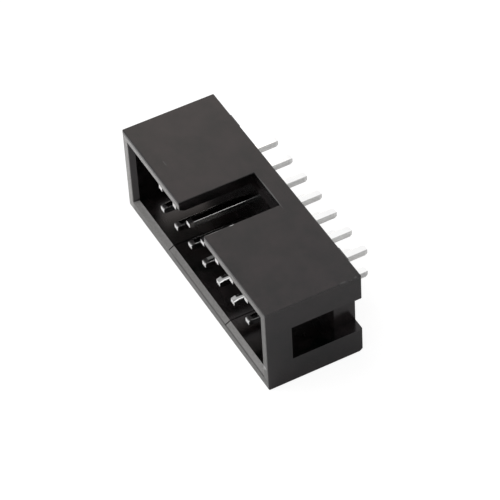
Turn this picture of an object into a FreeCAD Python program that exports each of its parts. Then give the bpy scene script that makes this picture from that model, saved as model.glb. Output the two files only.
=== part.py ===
import FreeCAD, Part
import os
import Sketcher

# Box header with two rows of square pins in a shroud, lying on the long wall across from its key notch.
# X runs along the rows, the mouth faces -Y, the board tails point to +Y and +Z is up through the notch.
# All sizes are millimetres. Each one is written once here and everything below follows it.
SIZES = [
    # pins
    ("pitch", 2.54),
    ("row_spacing", 2.54),
    ("columns", 7),
    ("pin_width", 0.64),
    ("pin_round", 0.05),
    ("pin_recess", 0.86),
    ("tail_length", 3.0),
    ("tip_taper_length", 0.4),
    ("tip_taper_inset", 0.12),
    ("tip_side_inset", 0.03),
    ("tail_taper_length", 0.27),
    ("tail_taper_inset", 0.1),
    # shroud
    ("end_margin", 5.08),
    ("body_height", 8.8),
    ("body_depth", 8.8),
    ("edge_round", 0.1),
    ("long_wall", 1.12),
    ("end_wall", 1.2),
    ("base_thickness", 2.0),
    ("mouth_bevel_depth", 0.5),
    ("mouth_bevel_long", 0.28),
    ("mouth_bevel_end", 0.4),
    # key notch in the upper long wall
    ("notch_width", 4.5),
    ("notch_depth", 7.1),
    ("notch_round", 0.06),
    # windows through both end walls, running on as a recess to the board side
    ("window_start", 2.3),
    ("window_height", 3.6),
    # holes that hold the pins
    ("pin_clearance", 0.01),
    ("relief_width", 1.1),
    ("relief_depth", 0.15),
    # two narrow grooves along the inside of the lower long wall
    ("groove_spacing", 10.2),
    ("groove_width", 0.1),
    ("groove_depth", 0.3),
    # bevel along the lower board side edge
    ("heel_bevel_depth", 0.44),
    ("heel_bevel_height", 0.28),
    # stand-off ribs that sit on the board
    ("standoff_height", 0.3),
    ("standoff_width", 1.6),
    ("standoff_spacing", 18.6),
    ("standoff_inset", 0.6),
]

LENGTH = "((sizes.columns - 1) * sizes.pitch + 2 * sizes.end_margin)"
MIDDLE = "(sizes.body_height / 2)"
CAVITY_DEPTH = "(sizes.body_depth - sizes.base_thickness)"
SEAT = "(sizes.body_depth + sizes.standoff_height)"
HALF_REACH = "((" + SEAT + " + sizes.tail_length) / 2)"
FIRST_COLUMN = "(-(sizes.columns - 1) * sizes.pitch / 2)"
HOLE = "(sizes.pin_width + 2 * sizes.pin_clearance)"


def plane(body, role):
    """The body's own origin plane with this role."""
    return [f for f in body.Origin.OriginFeatures if f.Role == role][0]


def sketch_on(body, name, role, offset=None):
    """A sketch on an origin plane, moved along the plane's normal by a formula."""
    sketch = body.newObject("Sketcher::SketchObject", name)
    sketch.AttachmentSupport = [(plane(body, role), "")]
    sketch.MapMode = "FlatFace"
    if offset:
        sketch.setExpression(".AttachmentOffset.Base.z", offset)
    return sketch


def corner(sketch, name, edge, point, across, up):
    """Ties one corner of an outline to the sketch origin with two formulas."""
    for kind, formula in (("DistanceX", across), ("DistanceY", up)):
        label = name + kind
        start = sketch.getPoint(edge, point)
        value = start.x if kind == "DistanceX" else start.y
        index = sketch.addConstraint(Sketcher.Constraint(kind, -1, 1, edge, point, value))
        sketch.renameConstraint(index, label)
        sketch.setExpression("Constraints." + label, formula)


def outline(sketch, points):
    """Closed chain of straight edges through the given starting points, joined at the corners."""
    first = sketch.GeometryCount
    count = len(points)
    for i in range(count):
        a = FreeCAD.Vector(*points[i], 0)
        b = FreeCAD.Vector(*points[(i + 1) % count], 0)
        sketch.addGeometry(Part.LineSegment(a, b), False)
    for i in range(count):
        sketch.addConstraint(Sketcher.Constraint("Coincident", first + i, 2, first + (i + 1) % count, 1))
    return first


def rectangle(sketch, name, left, right, low, high):
    """A rectangle whose four sides follow the given formulas."""
    first = outline(sketch, [(1, 1), (2, 1), (2, 2), (1, 2)])
    sketch.addConstraint(Sketcher.Constraint("Horizontal", first))
    sketch.addConstraint(Sketcher.Constraint("Vertical", first + 1))
    sketch.addConstraint(Sketcher.Constraint("Horizontal", first + 2))
    sketch.addConstraint(Sketcher.Constraint("Vertical", first + 3))
    corner(sketch, name + "Low", first, 1, left, low)
    corner(sketch, name + "High", first + 1, 2, right, high)


def centred(sketch, name, width, middle, height):
    """A rectangle centred on the sketch's upright axis and on a given height."""
    rectangle(
        sketch, name,
        "-" + width + " / 2", width + " / 2",
        middle + " - " + height + " / 2", middle + " + " + height + " / 2",
    )


def feature(body, kind, name, sketch, length, backwards=False):
    """A pad or pocket of a sketch by a length formula, checked to change the solid."""
    before = body.Shape.Volume if body.Tip else 0.0
    made = body.newObject("PartDesign::" + kind, name)
    made.Profile = sketch
    made.setExpression("Length", length)
    made.Reversed = backwards
    sketch.Visibility = False
    body.Document.recompute()
    gained = made.Shape.Volume - before
    if (kind == "Pad") != (gained > 1e-6) or abs(gained) < 1e-6:
        raise RuntimeError(name + " changed the volume by " + str(gained))
    return made


def edge_names(shape, wanted):
    """Names of the edges of a shape that pass a test."""
    return ["Edge" + str(i + 1) for i, edge in enumerate(shape.Edges) if wanted(edge)]


def rounded(body, name, radius, wanted=lambda edge: True):
    """Rounds the edges of the last feature that pass a test, all of them if none is given."""
    base = body.Tip
    made = body.newObject("PartDesign::Fillet", name)
    made.Base = (base, edge_names(base.Shape, wanted))
    made.setExpression("Radius", radius)
    body.Document.recompute()


def row_pattern(body, name, made):
    """Repeats a feature along the row, one for each column of pins."""
    pattern = body.newObject("PartDesign::LinearPattern", name)
    pattern.Originals = [made]
    pattern.Direction = (plane(body, "YZ_Plane"), [""])
    pattern.setExpression("Length", "(sizes.columns - 1) * sizes.pitch")
    pattern.setExpression("Occurrences", "sizes.columns")
    body.Tip = pattern
    body.Document.recompute()
    return pattern


def both_rows(sketch, width):
    """Two squares in the first column, one for each row of pins."""
    for name, sign in (("Upper", " + "), ("Lower", " - ")):
        middle = "(" + MIDDLE + sign + "sizes.row_spacing / 2)"
        rectangle(
            sketch, name,
            FIRST_COLUMN + " - " + width + " / 2", FIRST_COLUMN + " + " + width + " / 2",
            middle + " - " + width + " / 2", middle + " + " + width + " / 2",
        )


def shroud_block(body):
    """Outer block of the moulding, from the mouth to the board side, with its edges eased."""
    outer = sketch_on(body, "outer_outline", "XZ_Plane")
    centred(outer, "outer", LENGTH, MIDDLE, "sizes.body_height")
    feature(body, "Pad", "outer_block", outer, "sizes.body_depth", True)
    rounded(body, "outer_rounds", "sizes.edge_round")


def cavity(body):
    """Cavity for the mating socket, open at the mouth, with a bevel all round its rim."""
    inner_length = "(" + LENGTH + " - 2 * sizes.end_wall)"
    inner_height = "(sizes.body_height - 2 * sizes.long_wall)"
    inner = sketch_on(body, "cavity_outline", "XZ_Plane")
    centred(inner, "inner", inner_length, MIDDLE, inner_height)
    feature(body, "Pocket", "cavity", inner, CAVITY_DEPTH)

    rim = sketch_on(body, "rim_outline", "XZ_Plane")
    centred(
        rim, "rim", "(" + inner_length + " + 2 * sizes.mouth_bevel_end)", MIDDLE,
        "(" + inner_height + " + 2 * sizes.mouth_bevel_long)",
    )
    throat = sketch_on(body, "throat_outline", "XZ_Plane", "-sizes.mouth_bevel_depth")
    centred(throat, "throat", inner_length, MIDDLE, inner_height)
    body.Document.recompute()
    before = body.Shape.Volume
    bevel = body.newObject("PartDesign::SubtractiveLoft", "mouth_bevel")
    bevel.Profile = rim
    bevel.Sections = [throat]
    bevel.Ruled = True
    body.Document.recompute()
    if body.Shape.Volume > before - 1e-6:
        raise RuntimeError("the mouth bevel cut nothing")


def key_notch(body):
    """Key notch through the middle of the upper long wall, a little deeper than the cavity."""
    notch = sketch_on(body, "notch_outline", "XZ_Plane")
    rectangle(
        notch, "notch",
        "-sizes.notch_width / 2", "sizes.notch_width / 2",
        "sizes.body_height - sizes.long_wall", "sizes.body_height",
    )
    feature(body, "Pocket", "key_notch", notch, "sizes.notch_depth")

    sizes = body.Document.sizes
    side = sizes.notch_width / 2 + 1e-6

    def on_notch(edge):
        return all(abs(v.Z - sizes.body_height) < 1e-6 and abs(v.X) < side for v in edge.Vertexes)

    rounded(body, "notch_rounds", "sizes.notch_round", on_notch)


def end_windows(body):
    """Window in each end wall, level with the middle of the cavity and open to the board side."""
    for name, side, backwards in (("right", LENGTH + " / 2", False), ("left", "-" + LENGTH + " / 2", True)):
        window = sketch_on(body, name + "_window_outline", "YZ_Plane", side)
        rectangle(
            window, name,
            "sizes.window_start", "sizes.body_depth",
            MIDDLE + " - sizes.window_height / 2", MIDDLE + " + sizes.window_height / 2",
        )
        feature(body, "Pocket", name + "_window", window, "sizes.end_wall", backwards)


def pin_holes(body):
    """Square holes through the base, and a shallow relief round each of them on the board side."""
    hole = sketch_on(body, "hole_outline", "XZ_Plane", "-" + CAVITY_DEPTH)
    both_rows(hole, HOLE)
    row_pattern(body, "pin_holes", feature(body, "Pocket", "first_holes", hole, "sizes.base_thickness"))

    relief = sketch_on(body, "relief_outline", "XZ_Plane", "-sizes.body_depth")
    both_rows(relief, "sizes.relief_width")
    row_pattern(body, "reliefs", feature(body, "Pocket", "first_reliefs", relief, "sizes.relief_depth", True))


def wall_grooves(body):
    """Narrow grooves along the inside of the lower long wall, from the mouth to the cavity floor."""
    grooves = sketch_on(body, "groove_outline", "XZ_Plane")
    for name, side in (("left", "-"), ("right", "")):
        middle = side + "sizes.groove_spacing / 2"
        rectangle(
            grooves, name,
            middle + " - sizes.groove_width / 2", middle + " + sizes.groove_width / 2",
            "sizes.long_wall - sizes.groove_depth", "sizes.long_wall",
        )
    feature(body, "Pocket", "wall_grooves", grooves, CAVITY_DEPTH)


def heel_bevel(body):
    """Bevel along the lower edge of the board side."""
    wedge = sketch_on(body, "heel_outline", "YZ_Plane", LENGTH + " / 2")
    first = outline(wedge, [(1, 1), (3, 1), (3, 2)])
    corner(wedge, "front", first, 1, "sizes.body_depth - sizes.heel_bevel_depth", "0")
    corner(wedge, "foot", first + 1, 1, "sizes.body_depth", "0")
    corner(wedge, "top", first + 2, 1, "sizes.body_depth", "sizes.heel_bevel_height")
    feature(body, "Pocket", "heel_bevel", wedge, LENGTH)


def standoffs(body):
    """Two low ribs on the board side that keep the base off the board."""
    ribs = sketch_on(body, "standoff_outline", "XZ_Plane", "-sizes.body_depth")
    for name, side in (("left", "-"), ("right", "")):
        middle = side + "sizes.standoff_spacing / 2"
        rectangle(
            ribs, name,
            middle + " - sizes.standoff_width / 2", middle + " + sizes.standoff_width / 2",
            "sizes.standoff_inset", "sizes.body_height - sizes.standoff_inset",
        )
    feature(body, "Pad", "standoff_ribs", ribs, "sizes.standoff_height", True)


def make_housing(doc):
    """The moulded shroud with its base, one piece."""
    body = doc.addObject("PartDesign::Body", "housing")
    body.Label = "housing"
    shroud_block(body)
    cavity(body)
    key_notch(body)
    end_windows(body)
    pin_holes(body)
    wall_grooves(body)
    heel_bevel(body)
    standoffs(body)
    body.setExpression("Placement.Base.y", "-" + HALF_REACH)
    return body


def along_pin(edge):
    """Tells whether an edge of a pin runs from one end to the other."""
    front, rear = edge.Vertexes
    return abs(front.X - rear.X) < 1e-6 and abs(front.Z - rear.Z) < 1e-6


def wedge(sketch, name, end, slope_end, face, narrowed, level):
    """Triangle between one end of a pin, one of its faces and the slope that narrows it."""
    first = outline(sketch, [(1, 1), (3, 1), (3, 2)])
    for i, (label, along, across) in enumerate((
        ("Slope", slope_end, face), ("Edge", end, face), ("Narrow", end, narrowed),
    )):
        place = (across, along) if level else (along, across)
        corner(sketch, name + label, first + i, 1, *place)


def narrowed_ends(body, name, level, tip_inset, reach):
    """Slopes on two opposite sides of a pin that narrow it towards both of its ends."""
    slopes = sketch_on(body, name + "_outline", "XY_Plane" if level else "YZ_Plane", "sizes.pin_width / 2")
    half = "sizes.pin_width / 2"
    for side, sign in (("high", ""), ("low", "-")):
        face = sign + half
        narrow_tip = sign + "(" + half + " - " + tip_inset + ")"
        narrow_tail = sign + "(" + half + " - sizes.tail_taper_inset)"
        wedge(slopes, side + "Tip", "0", "sizes.tip_taper_length", face, narrow_tip, level)
        wedge(slopes, side + "Tail", reach, reach + " - sizes.tail_taper_length", face, narrow_tail, level)
    feature(body, "Pocket", name, slopes, "sizes.pin_width")


def make_pin(doc, label, column, row):
    """One square pin with eased edges, tapered at its mating tip and at its board tail."""
    body = doc.addObject("PartDesign::Body", label)
    body.Label = label
    section = sketch_on(body, label + "_section", "XZ_Plane")
    centred(section, "section", "sizes.pin_width", "0", "sizes.pin_width")
    reach = "(" + SEAT + " + sizes.tail_length - sizes.pin_recess)"
    feature(body, "Pad", label + "_shaft", section, reach, True)
    rounded(body, label + "_rounds", "sizes.pin_round", along_pin)
    narrowed_ends(body, label + "_slopes", False, "sizes.tip_taper_inset", reach)
    narrowed_ends(body, label + "_cheeks", True, "sizes.tip_side_inset", reach)

    body.setExpression("Placement.Base.x", FIRST_COLUMN + " + " + str(column) + " * sizes.pitch")
    body.setExpression("Placement.Base.y", "sizes.pin_recess - " + HALF_REACH)
    sign = " + " if row == 0 else " - "
    body.setExpression("Placement.Base.z", MIDDLE + sign + "sizes.row_spacing / 2")
    return body


def check(doc, pieces):
    """Stops if any object failed or any piece is not one sound solid."""
    for item in doc.Objects:
        if "Invalid" in item.State or "Error" in item.State:
            raise RuntimeError(item.Name + " is " + str(item.State))
    for piece in pieces:
        shape = piece.Shape
        if shape.isNull() or not shape.isValid() or len(shape.Solids) != 1:
            raise RuntimeError(piece.Label + " is not one valid solid")


def main():
    doc = FreeCAD.newDocument("box_header")
    sheet = doc.addObject("Spreadsheet::Sheet", "sizes")
    for i, (name, value) in enumerate(SIZES):
        row = str(i + 1)
        sheet.set("A" + row, name.replace("_", " "))
        sheet.set("B" + row, str(value))
        sheet.setAlias("B" + row, name)
    doc.recompute()

    pieces = [make_housing(doc)]
    for column in range(int(sheet.columns)):
        for row in (0, 1):
            label = "pin_%02d" % (2 * column + row + 1)
            pieces.append(make_pin(doc, label, column, row))
    doc.recompute()
    check(doc, pieces)

    os.makedirs("parts", exist_ok=True)
    for piece in pieces:
        piece.Shape.exportStep(os.path.join("parts", piece.Label + ".step"))
        box = piece.Shape.BoundBox
        print("%s volume %.3f size %.2f x %.2f x %.2f" % (
            piece.Label, piece.Shape.Volume, box.XLength, box.YLength, box.ZLength,
        ))


main()
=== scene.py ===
"""Looks, camera, floor and light of the box header, around its CAD pieces."""
import math

import bpy
from mathutils import Matrix, Vector


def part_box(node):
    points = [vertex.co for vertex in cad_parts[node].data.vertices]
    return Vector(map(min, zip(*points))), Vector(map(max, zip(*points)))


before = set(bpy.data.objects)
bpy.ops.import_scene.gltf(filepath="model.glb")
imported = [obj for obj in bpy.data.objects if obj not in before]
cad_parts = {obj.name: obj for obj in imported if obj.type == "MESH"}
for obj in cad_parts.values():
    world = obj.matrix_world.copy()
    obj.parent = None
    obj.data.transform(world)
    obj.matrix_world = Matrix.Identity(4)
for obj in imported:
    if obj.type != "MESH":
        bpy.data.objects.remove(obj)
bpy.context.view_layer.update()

MM = 0.001
PITCH = 2.54 * MM
PINS = [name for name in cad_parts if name.startswith("pin_")]
# The housing's outer faces: the mouth is at the front, the tails come out at the rear.
(LEFT, FRONT, BOTTOM), (RIGHT, REAR, TOP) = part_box("housing")

# Camera, in degrees and millimetres
CAMERA_AZIMUTH = -64.188
CAMERA_ELEVATION = 45.165
CAMERA_ROLL = -3.616
CAMERA_TARGET = (0, -6.05, 0)
CAMERA_BACK = 235.19
CAMERA_RIGHT = 4.453
CAMERA_UP = 3.702
SENSOR_WIDTH = 36
FOCAL_PIXELS = 2794.3
IMAGE_PIXELS = 500

# Area lamps: name, the way to it, its distance and size in metres, power in watts, colour, and
# whether it is mirrored in what is glossy
LAMPS = [
    ("key", (-0.64, -0.445, 0.629), 0.6, 0.8, 2.6, (1, 1, 1), False),
    ("overhead", (0.25, -0.15, 1.0), 0.7, 0.8, 1.8, (1, 1, 1), False),
    ("side", (-0.848, 0.21, 0.487), 0.632, 0.4, 0.26, (1, 0.84, 0.68), True),
]
WORLD_LIGHT = 0.3
WORLD_SEEN = [("Is Glossy Ray", 0.98), ("Is Transmission Ray", 1.0), ("Is Camera Ray", 1.0)]

FLOOR_REACH = 2.5
FLOOR_DROP = 0.02 * MM
FLOOR_GREYS = ((0.79, 0.79, 0.79), (0.81, 0.81, 0.81))
# for each kind of ray: the grey that takes the shadow, and the glow added to it
FLOOR_SEEN = [("Is Glossy Ray", 0.95, 0.0), ("Is Camera Ray", 0.3, 0.85)]

# Colours of the plastic: a pair is where a noise is low and where it is high, and a spread is the
# two levels of the noise at which they are reached
PLASTIC = ((0.0004, 0.0012, 0.0010), (0.0121, 0.0090, 0.0093))
PLASTIC_SPREAD = (0.37, 0.63)
# the rounded top edges: paler, partly wear and partly a painted edge highlight
EDGE_WEAR_AND_HIGHLIGHT = ((0.014, 0.0137, 0.0133), (0.035, 0.0343, 0.0336))
EDGE_WEAR_AND_HIGHLIGHT_SPREAD = (0.45, 0.7)
# the rim round the mouth: grey, partly a frosted finish and partly painted sheen, and paler where
# painted light falls on it
RIM_FROST_AND_PAINTED_SHEEN = ((0.11, 0.108, 0.104), (0.165, 0.162, 0.157))
RIM_PAINTED_LIGHT = ((0.28, 0.277, 0.27), (0.39, 0.386, 0.38))
SEAM_GREY = (0.065, 0.0638, 0.062, 1)
PLASTIC_SHEEN = (0.84, 0.805, 0.83, 1)
PLASTIC_IOR = 1.5
PLASTIC_ROUGHNESS = (0.19, 0.25)
RIM_DULLNESS = 0.1
CAVITY_FLOOR_DULLNESS = 0.35 * RIM_DULLNESS
PLASTIC_BUMP = 0.1
# how much painted light the rim takes from the left to the right end, and how much painted
# highlight the lip takes from the middle to the right end
RIM_PAINTED_LIGHT_FALLOFF = (1.0, 0.25)
LIP_PAINTED_HIGHLIGHT = (0.23, 0.75)

# Colours of the tin
TIN = ((0.95, 0.95, 0.95), (0.98, 0.98, 0.975))
# the tails' sides: greyer, partly a duller sheared finish and partly painted shade
TAIL_SIDE_SHEARED_AND_SHADED = ((0.60, 0.60, 0.60), (0.74, 0.74, 0.73))
# painted shade on the mating end, inside the cavity: its sides, then its tops
MATING_SIDE_SHADE = ((0.30, 0.30, 0.30), (0.42, 0.42, 0.42))
MATING_TOP_SHADE = ((0.28, 0.28, 0.28), (0.42, 0.42, 0.42))
TIN_ROUGHNESS = (0.03, 0.07)
SIDE_ROUGHNESS = (0.1, 0.28)
TIN_BUMP = 0.02
BUMP_DEPTH = 0.01 * MM

# Where a look comes in or goes out: the place where the change starts and the place where it ends
RIM_FRONT = (FRONT + 0.008 * MM, FRONT + 0.08 * MM)
RIM_UNDER_TOP = (TOP - 0.42 * MM, TOP - 0.2 * MM)
RIM_BESIDE_END = (RIGHT - 0.28 * MM, RIGHT - 0.1 * MM)
UPPER_RIM = (BOTTOM + 0.9 * MM, BOTTOM + 1.3 * MM)
LEFT_RIM = (LEFT + 0.7 * MM, LEFT + 1.0 * MM)
RIGHT_RIM = (RIGHT - 1.3 * MM, RIGHT - 0.9 * MM)
LIP_TOP = (BOTTOM + 1.2 * MM, BOTTOM + 1.3 * MM)
SEAM_LOWER_SIDE = (BOTTOM + 0.71 * MM, BOTTOM + 0.75 * MM)
SEAM_UPPER_SIDE = (BOTTOM + 0.86 * MM, BOTTOM + 0.90 * MM)
SEAM_LEFT_END = (-5.4 * MM, -3.4 * MM)
FLOOR_OF_CAVITY_LOW = (BOTTOM + 1.0 * MM, BOTTOM + 1.1 * MM)
FLOOR_OF_CAVITY_HIGH = (BOTTOM + 1.15 * MM, BOTTOM + 1.25 * MM)
FLOOR_OF_CAVITY_FRONT = (FRONT + 0.4 * MM, FRONT + 0.6 * MM)
TOP_EDGE = (TOP - 0.14 * MM, TOP - 0.1 * MM)
TAIL_START = (REAR - 1.5 * MM, REAR - 1.0 * MM)
PIN_RIGHT_STRIP = (0.16 * MM, 0.22 * MM)

# The same for the way that a surface faces
LIP_BEVEL_FACING = (0, -0.489, 0.872)
LIP_BEVEL_MATCH = (0.97, 0.99)
EDGE_FACES_UP = (0.92, 0.98)
PIN_FACES_UP = (0.8, 0.95)
PIN_FACES_RIGHT = (0.5, 0.8)
PIN_FACES_LEFT = (-0.3, -0.1)

# Wear and painted edge highlights on the plastic: middle and half size in millimetres, and how pale
# it is
MARKS_AND_EDGE_HIGHLIGHTS = [
    # the pale line on the notch's right edge and the pale spot at its end, partly wear and partly a
    # painted edge highlight
    ((2.29, -5.2, 8.78), (0.08, 0.95, 0.1), 0.11),
    ((2.27, -3.5, 8.78), (0.12, 0.28, 0.12), 0.55),
    # the pale line on the notch's rear edge, partly wear and partly a painted edge highlight
    ((0.4, 1.08, 8.78), (2.6, 0.09, 0.12), 0.09),
    # the short scratch on the top's left part
    ((-7.1, -4.83, 8.8), (0.45, 0.1, 0.1), 0.03),
    # scuffs on the top's right edge
    ((12.66, 1.1, 8.78), (0.16, 0.4, 0.12), 0.05),
    ((12.64, 2.25, 8.78), (0.14, 0.2, 0.12), 0.05),
    # the light curved mark on the rim's lower right corner
    ((11.35, -6.05, 1.6), (0.3, 0.3, 0.2), 0.6),
    ((11.75, -6.05, 1.98), (0.35, 0.3, 0.2), 0.55),
    ((12.1, -6.05, 2.23), (0.35, 0.3, 0.2), 0.45),
]
SMALL_MARK_FADE = (0.4, 1.0)

# A Mix node's colour sockets share their names with its other sockets, so they go by number.
MIX_FIRST, MIX_SECOND, MIX_RESULT = 6, 7, 2


# Camera at the photograph's viewing angle: it looks at the middle of the mouth's lower edge
# from the right and above, a little rolled and moved off it, with a long lens.
def make_camera():
    azimuth, elevation, roll = map(math.radians, (CAMERA_AZIMUTH, CAMERA_ELEVATION, CAMERA_ROLL))
    back = Vector((
        -math.sin(azimuth) * math.cos(elevation),
        -math.cos(azimuth) * math.cos(elevation),
        math.sin(elevation),
    ))
    level = (-back).cross(Vector((0, 0, 1))).normalized()
    upright = level.cross(-back)
    right = math.cos(roll) * level + math.sin(roll) * upright
    up = -math.sin(roll) * level + math.cos(roll) * upright
    place = Vector(CAMERA_TARGET) + back * CAMERA_BACK + right * CAMERA_RIGHT + up * CAMERA_UP
    data = bpy.data.cameras.new("camera")
    data.sensor_width = SENSOR_WIDTH
    data.lens = SENSOR_WIDTH * FOCAL_PIXELS / IMAGE_PIXELS
    data.clip_start = 0.005
    data.clip_end = 20
    camera = bpy.data.objects.new("camera", data)
    turn = Matrix((right, up, back)).transposed().to_4x4()
    camera.matrix_world = Matrix.Translation(place * MM) @ turn
    bpy.context.collection.objects.link(camera)
    bpy.context.scene.camera = camera


# Node helpers
def material(name):
    made = bpy.data.materials.new(name)
    made.use_nodes = True
    made.node_tree.nodes.clear()
    return made, made.node_tree


def feed(tree, value, socket):
    """Links another node's output to the socket, or sets the socket to a number or colour."""
    if isinstance(value, bpy.types.NodeSocket):
        tree.links.new(value, socket)
    else:
        socket.default_value = value


def node(tree, kind, **values):
    """A new node. A value named after an input goes into it, any other sets a property."""
    made = tree.nodes.new(kind)
    for key, value in values.items():
        if key in made.inputs:
            feed(tree, value, made.inputs[key])
        else:
            setattr(made, key, value)
    return made


def noise(tree, coordinates, scale, detail=2.0, roughness=0.5, stretch=(1, 1, 1)):
    """Noise over object coordinates; scale is in features per metre."""
    mapping = node(tree, "ShaderNodeMapping", Vector=coordinates, Scale=stretch)
    place = mapping.outputs["Vector"]
    made = node(
        tree, "ShaderNodeTexNoise", Vector=place, Scale=scale, Detail=detail, Roughness=roughness
    )
    return made.outputs["Fac"]


def axes(tree, vector):
    """The X, Y and Z of a vector."""
    made = node(tree, "ShaderNodeSeparateXYZ", Vector=vector)
    return [made.outputs[axis] for axis in "XYZ"]


def between(tree, value, low, high, start=0.35, end=0.65):
    """Goes from low to high while the value goes from the start to the end, and no further. The
    start and end that it has by default suit noise, which keeps near a half."""
    made = node(tree, "ShaderNodeMapRange", Value=value)
    for key, number in (("From Min", start), ("From Max", end), ("To Min", low), ("To Max", high)):
        made.inputs[key].default_value = number
    return made.outputs["Result"]


def rising(tree, value, start, end):
    """Nothing before the start, one after the end."""
    return between(tree, value, 0.0, 1.0, start, end)


def falling(tree, value, start, end):
    """One before the start, nothing after the end."""
    return between(tree, value, 1.0, 0.0, start, end)


def ramp(tree, value, low, high, start=0.35, end=0.65):
    """A colour that goes from low to high with the noise."""
    made = node(tree, "ShaderNodeValToRGB", Fac=value)
    for element, position, colour in zip(made.color_ramp.elements, (start, end), (low, high)):
        element.position = position
        element.color = (*colour, 1)
    return made.outputs["Color"]


def blend_colour(tree, share, first, second):
    """A colour that goes from the first to the second with the share."""
    made = node(tree, "ShaderNodeMix", data_type="RGBA", Factor=share)
    feed(tree, first, made.inputs[MIX_FIRST])
    feed(tree, second, made.inputs[MIX_SECOND])
    return made.outputs[MIX_RESULT]


def blend_shader(tree, share, first, second):
    """A shader that goes from the first to the second with the share."""
    made = node(tree, "ShaderNodeMixShader", Fac=share)
    tree.links.new(first, made.inputs[1])
    tree.links.new(second, made.inputs[2])
    return made.outputs["Shader"]


def maths(tree, operation, *values):
    made = node(tree, "ShaderNodeMath", operation=operation)
    for socket, value in zip(made.inputs, values):
        feed(tree, value, socket)
    return made.outputs["Value"]


def product(tree, first, *others):
    for other in others:
        first = maths(tree, "MULTIPLY", first, other)
    return first


def larger(tree, first, second):
    return maths(tree, "MAXIMUM", first, second)


def principled(tree, colour, roughness, height, strength, **values):
    """The material's shader, with a fine bump from the height."""
    bump = node(tree, "ShaderNodeBump", Height=height, Strength=strength, Distance=BUMP_DEPTH)
    shader = node(tree, "ShaderNodeBsdfPrincipled", Roughness=roughness, **values)
    tree.links.new(colour, shader.inputs["Base Color"])
    tree.links.new(bump.outputs["Normal"], shader.inputs["Normal"])
    node(tree, "ShaderNodeOutputMaterial", Surface=shader.outputs["BSDF"])
    return shader


# Black moulded plastic: satin, a little warmer in places, with the fine grain of an eroded mould.
# The rim round the mouth and the bevel on its lower lip are grey and duller than the rest: the grey
# is partly a frosted finish and partly painted sheen. The rim's left and upper sides are paler
# still, painted light, and the lip's bevel is paler to the right, a painted highlight. The rounded
# top edges and some marks are paler, partly wear and partly a painted edge highlight. The cavity's
# floor is a little duller too.
def moulded_black():
    made, tree = material("moulded_black")
    coordinates = node(tree, "ShaderNodeTexCoord")
    place, normal = coordinates.outputs["Object"], coordinates.outputs["Normal"]
    cloud = noise(tree, place, 430, 5, 0.75)
    grain = noise(tree, place, 9000, 2, 0.6)
    flow = noise(tree, place, 700, 3, 0.55, (0.35, 1, 1))
    rim, painted_light_share, seam = mouth_rim(tree, place, normal)

    # the rim's painted sheen and painted light
    frosted_sheen_grey, painted_light_grey = ramp(tree, grain, *RIM_FROST_AND_PAINTED_SHEEN), ramp(tree, grain, *RIM_PAINTED_LIGHT)
    rim_painted_colour = blend_colour(tree, seam, blend_colour(tree, painted_light_share, frosted_sheen_grey, painted_light_grey), SEAM_GREY)
    # the rounded top edges: paler, partly wear and partly a painted edge highlight
    edge_wear_and_highlight = ramp(tree, flow, *EDGE_WEAR_AND_HIGHLIGHT, *EDGE_WEAR_AND_HIGHLIGHT_SPREAD)
    colour = ramp(tree, cloud, *PLASTIC, *PLASTIC_SPREAD)
    colour = blend_colour(tree, top_edge(tree, place, normal), colour, edge_wear_and_highlight)
    colour = blend_colour(tree, rim, colour, rim_painted_colour)
    # small marks: wear, and on the notch's edges partly a painted edge highlight
    for middle, reach, paleness in MARKS_AND_EDGE_HIGHLIGHTS:
        mark = small_mark(tree, place, middle, reach)
        colour = blend_colour(tree, mark, colour, (paleness, paleness, paleness, 1))

    satin = between(tree, flow, *PLASTIC_ROUGHNESS)
    floor_dullness = product(tree, cavity_floor(tree, place), CAVITY_FLOOR_DULLNESS)
    dullness = larger(tree, product(tree, rim, RIM_DULLNESS), floor_dullness)
    roughness = maths(tree, "ADD", dullness, satin)
    shader = principled(tree, colour, roughness, grain, PLASTIC_BUMP, IOR=PLASTIC_IOR)
    shader.inputs["Specular Tint"].default_value = PLASTIC_SHEEN
    return made


def mouth_rim(tree, place, normal):
    """Three shares. The rim: one on the flat rim round the mouth and on the lower lip's bevel.
    The painted light: one at the upper left, less to the right, nothing on the lower and right
    sides, and on the bevel a painted highlight, more to the right. The seam: one on a thin line
    along the lower rim, from near the left groove on."""
    x, y, z = axes(tree, place)
    flat = falling(tree, y, *RIM_FRONT)
    under_top = falling(tree, z, *RIM_UNDER_TOP)
    beside_end = falling(tree, x, *RIM_BESIDE_END)
    rim = product(tree, flat, under_top, beside_end)

    facing = node(tree, "ShaderNodeVectorMath", operation="DOT_PRODUCT")
    feed(tree, normal, facing.inputs[0])
    feed(tree, LIP_BEVEL_FACING, facing.inputs[1])
    sloped = rising(tree, facing.outputs["Value"], *LIP_BEVEL_MATCH)
    lip = product(tree, sloped, falling(tree, z, *LIP_TOP))

    # painted light on the rim, brightest at the upper left and fading to the right, and a painted
    # highlight on the lip's bevel, growing to the right
    side = larger(tree, rising(tree, z, *UPPER_RIM), falling(tree, x, *LEFT_RIM))
    fading = between(tree, x, *RIM_PAINTED_LIGHT_FALLOFF, LEFT, RIGHT)
    side_light_share = product(tree, side, falling(tree, x, *RIGHT_RIM), fading)
    lip_highlight_share = product(tree, lip, between(tree, x, *LIP_PAINTED_HIGHLIGHT, 0.0, RIGHT))

    above, below = rising(tree, z, *SEAM_LOWER_SIDE), falling(tree, z, *SEAM_UPPER_SIDE)
    seam = product(tree, above, below, rising(tree, x, *SEAM_LEFT_END))
    return larger(tree, rim, lip), larger(tree, side_light_share, lip_highlight_share), seam


def cavity_floor(tree, place):
    """One on the wall at the bottom of the cavity, nothing elsewhere."""
    _, y, z = axes(tree, place)
    above = rising(tree, z, *FLOOR_OF_CAVITY_LOW)
    below = falling(tree, z, *FLOOR_OF_CAVITY_HIGH)
    return product(tree, above, below, rising(tree, y, *FLOOR_OF_CAVITY_FRONT))


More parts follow.
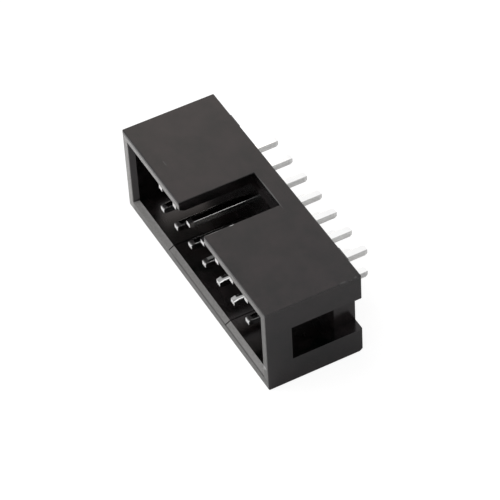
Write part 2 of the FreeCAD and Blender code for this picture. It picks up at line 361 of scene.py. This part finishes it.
def top_edge(tree, place, normal):
    """One on the rounded edges of the top, nothing elsewhere."""
    near_top = rising(tree, axes(tree, place)[2], *TOP_EDGE)
    return product(tree, near_top, falling(tree, axes(tree, normal)[2], *EDGE_FACES_UP))


def small_mark(tree, place, middle, reach):
    """One in the middle of a small mark, fading to nothing at its half size."""
    mapping = node(
        tree, "ShaderNodeMapping", Vector=place,
        Location=[-m / r for m, r in zip(middle, reach)], Scale=[1 / (r * MM) for r in reach],
    )
    away = node(tree, "ShaderNodeVectorMath", operation="LENGTH")
    feed(tree, mapping.outputs["Vector"], away.inputs[0])
    return falling(tree, away.outputs["Value"], *SMALL_MARK_FADE)


# Bright tin plating on square wire. The rolled faces are glossy, with faint streaks along the wire.
# The sheared faces, to the left and right, are greyer: satin on the tails, where the grey is partly
# the sheared finish and partly painted shade, and dark and smoother at the mating end, where the
# dark is painted shade inside the cavity. The left one takes in its rounded edges. The top faces
# are grey at the mating end, painted shade inside the cavity, but for a strip along the right edge.
def tin_plating():
    made, tree = material("tin_plating")
    coordinates = node(tree, "ShaderNodeTexCoord")
    place, normal = coordinates.outputs["Object"], coordinates.outputs["Normal"]
    streak = noise(tree, place, 4200, 3, 0.6, (1, 0.06, 1))
    cloud = noise(tree, place, 900, 3)
    sheared = sheared_face(tree, normal)
    tail = rising(tree, axes(tree, place)[1], *TAIL_START)

    # painted shade at the mating end inside the cavity: on its tops, but for a strip along the
    # right edge, and on its sides
    shaded_top_share = mating_top(tree, place, normal, tail)
    rolled = blend_colour(tree, shaded_top_share, ramp(tree, cloud, *TIN), ramp(tree, streak, *MATING_TOP_SHADE))
    # the tails' sides: grey, partly the sheared finish and partly painted shade
    shaded_mating_side, sheared_and_shaded_tail_side = ramp(tree, streak, *MATING_SIDE_SHADE), ramp(tree, streak, *TAIL_SIDE_SHEARED_AND_SHADED)
    sides = blend_colour(tree, tail, shaded_mating_side, sheared_and_shaded_tail_side)
    colour = blend_colour(tree, sheared, rolled, sides)

    gloss = between(tree, streak, *TIN_ROUGHNESS)
    side_dullness = between(tree, tail, *SIDE_ROUGHNESS, 0.0, 1.0)
    roughness = maths(tree, "MULTIPLY_ADD", side_dullness, sheared, gloss)
    principled(tree, colour, roughness, streak, TIN_BUMP, Metallic=1.0)
    return made


def sheared_face(tree, normal):
    """One where a pin's surface faces left or right, nothing elsewhere."""
    x = axes(tree, normal)[0]
    return larger(tree, rising(tree, x, *PIN_FACES_RIGHT), falling(tree, x, *PIN_FACES_LEFT))


def mating_top(tree, place, normal, tail):
    """One where a pin's surface faces up at the mating end, but for a strip along its right edge,
    nothing elsewhere. A pin's middle is a whole number of pitches from the housing's middle."""
    upward = rising(tree, axes(tree, normal)[2], *PIN_FACES_UP)
    across = maths(tree, "WRAP", axes(tree, place)[0], 0.5 * PITCH, -0.5 * PITCH)
    off_edge = falling(tree, across, *PIN_RIGHT_STRIP)
    return product(tree, upward, off_edge, falling(tree, tail, 0.0, 1.0))


# Pale floor: what the camera sees of it is white with the object's soft shadow, and what is
# reflected in the object is white with a deeper shadow.
def floor_paper():
    made, tree = material("floor_paper")
    place = node(tree, "ShaderNodeTexCoord").outputs["Object"]
    paper = ramp(tree, noise(tree, place, 900, 3), *FLOOR_GREYS)
    surface = node(tree, "ShaderNodeBsdfDiffuse", Color=paper).outputs["BSDF"]
    rays = node(tree, "ShaderNodeLightPath")
    for ray, grey, strength in FLOOR_SEEN:
        lit = node(tree, "ShaderNodeBsdfDiffuse", Color=(grey, grey, grey, 1))
        glow = node(tree, "ShaderNodeEmission", Strength=strength)
        both = node(tree, "ShaderNodeAddShader")
        tree.links.new(lit.outputs["BSDF"], both.inputs[0])
        tree.links.new(glow.outputs["Emission"], both.inputs[1])
        surface = blend_shader(tree, rays.outputs[ray], surface, both.outputs["Shader"])
    node(tree, "ShaderNodeOutputMaterial", Surface=surface)
    return made


def make_floor():
    mesh = bpy.data.meshes.new("floor")
    signs = ((-1, -1), (1, -1), (1, 1), (-1, 1))
    mesh.from_pydata([(x * FLOOR_REACH, y * FLOOR_REACH, 0) for x, y in signs], [], [(0, 1, 2, 3)])
    floor = bpy.data.objects.new("floor", mesh)
    floor.location.z = -FLOOR_DROP
    mesh.materials.append(floor_paper())
    bpy.context.collection.objects.link(floor)


# Even white surroundings: white where they are seen, reflected or looked through, softer as light.
def make_world():
    world = bpy.data.worlds.new("world")
    world.use_nodes = True
    bpy.context.scene.world = world
    tree = world.node_tree
    tree.nodes.clear()
    rays = node(tree, "ShaderNodeLightPath")
    shade = node(tree, "ShaderNodeBackground", Strength=WORLD_LIGHT).outputs["Background"]
    for ray, strength in WORLD_SEEN:
        white = node(tree, "ShaderNodeBackground", Color=(1, 1, 1, 1), Strength=strength)
        shade = blend_shader(tree, rays.outputs[ray], shade, white.outputs["Background"])
    node(tree, "ShaderNodeOutputWorld", Surface=shade)


def soft_light(name, towards, distance, size, power, colour, mirrored):
    """A round area lamp that faces the object."""
    data = bpy.data.lights.new(name, "AREA")
    data.shape = "DISK"
    data.size = size
    data.energy = power
    data.color = colour
    lamp = bpy.data.objects.new(name, data)
    lamp.visible_glossy = mirrored
    way = Vector(towards).normalized()
    turn = way.to_track_quat("Z", "Y").to_matrix().to_4x4()
    lamp.matrix_world = Matrix.Translation(way * distance) @ turn
    bpy.context.collection.objects.link(lamp)


def dress(name, made):
    """Gives a CAD node its material."""
    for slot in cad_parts[name].material_slots:
        slot.material = made


make_camera()
make_world()
make_floor()
for lamp in LAMPS:
    soft_light(*lamp)

dress("housing", moulded_black())
tin = tin_plating()
for pin in PINS:
    dress(pin, tin)

scene = bpy.context.scene
scene.view_settings.view_transform = "Standard"
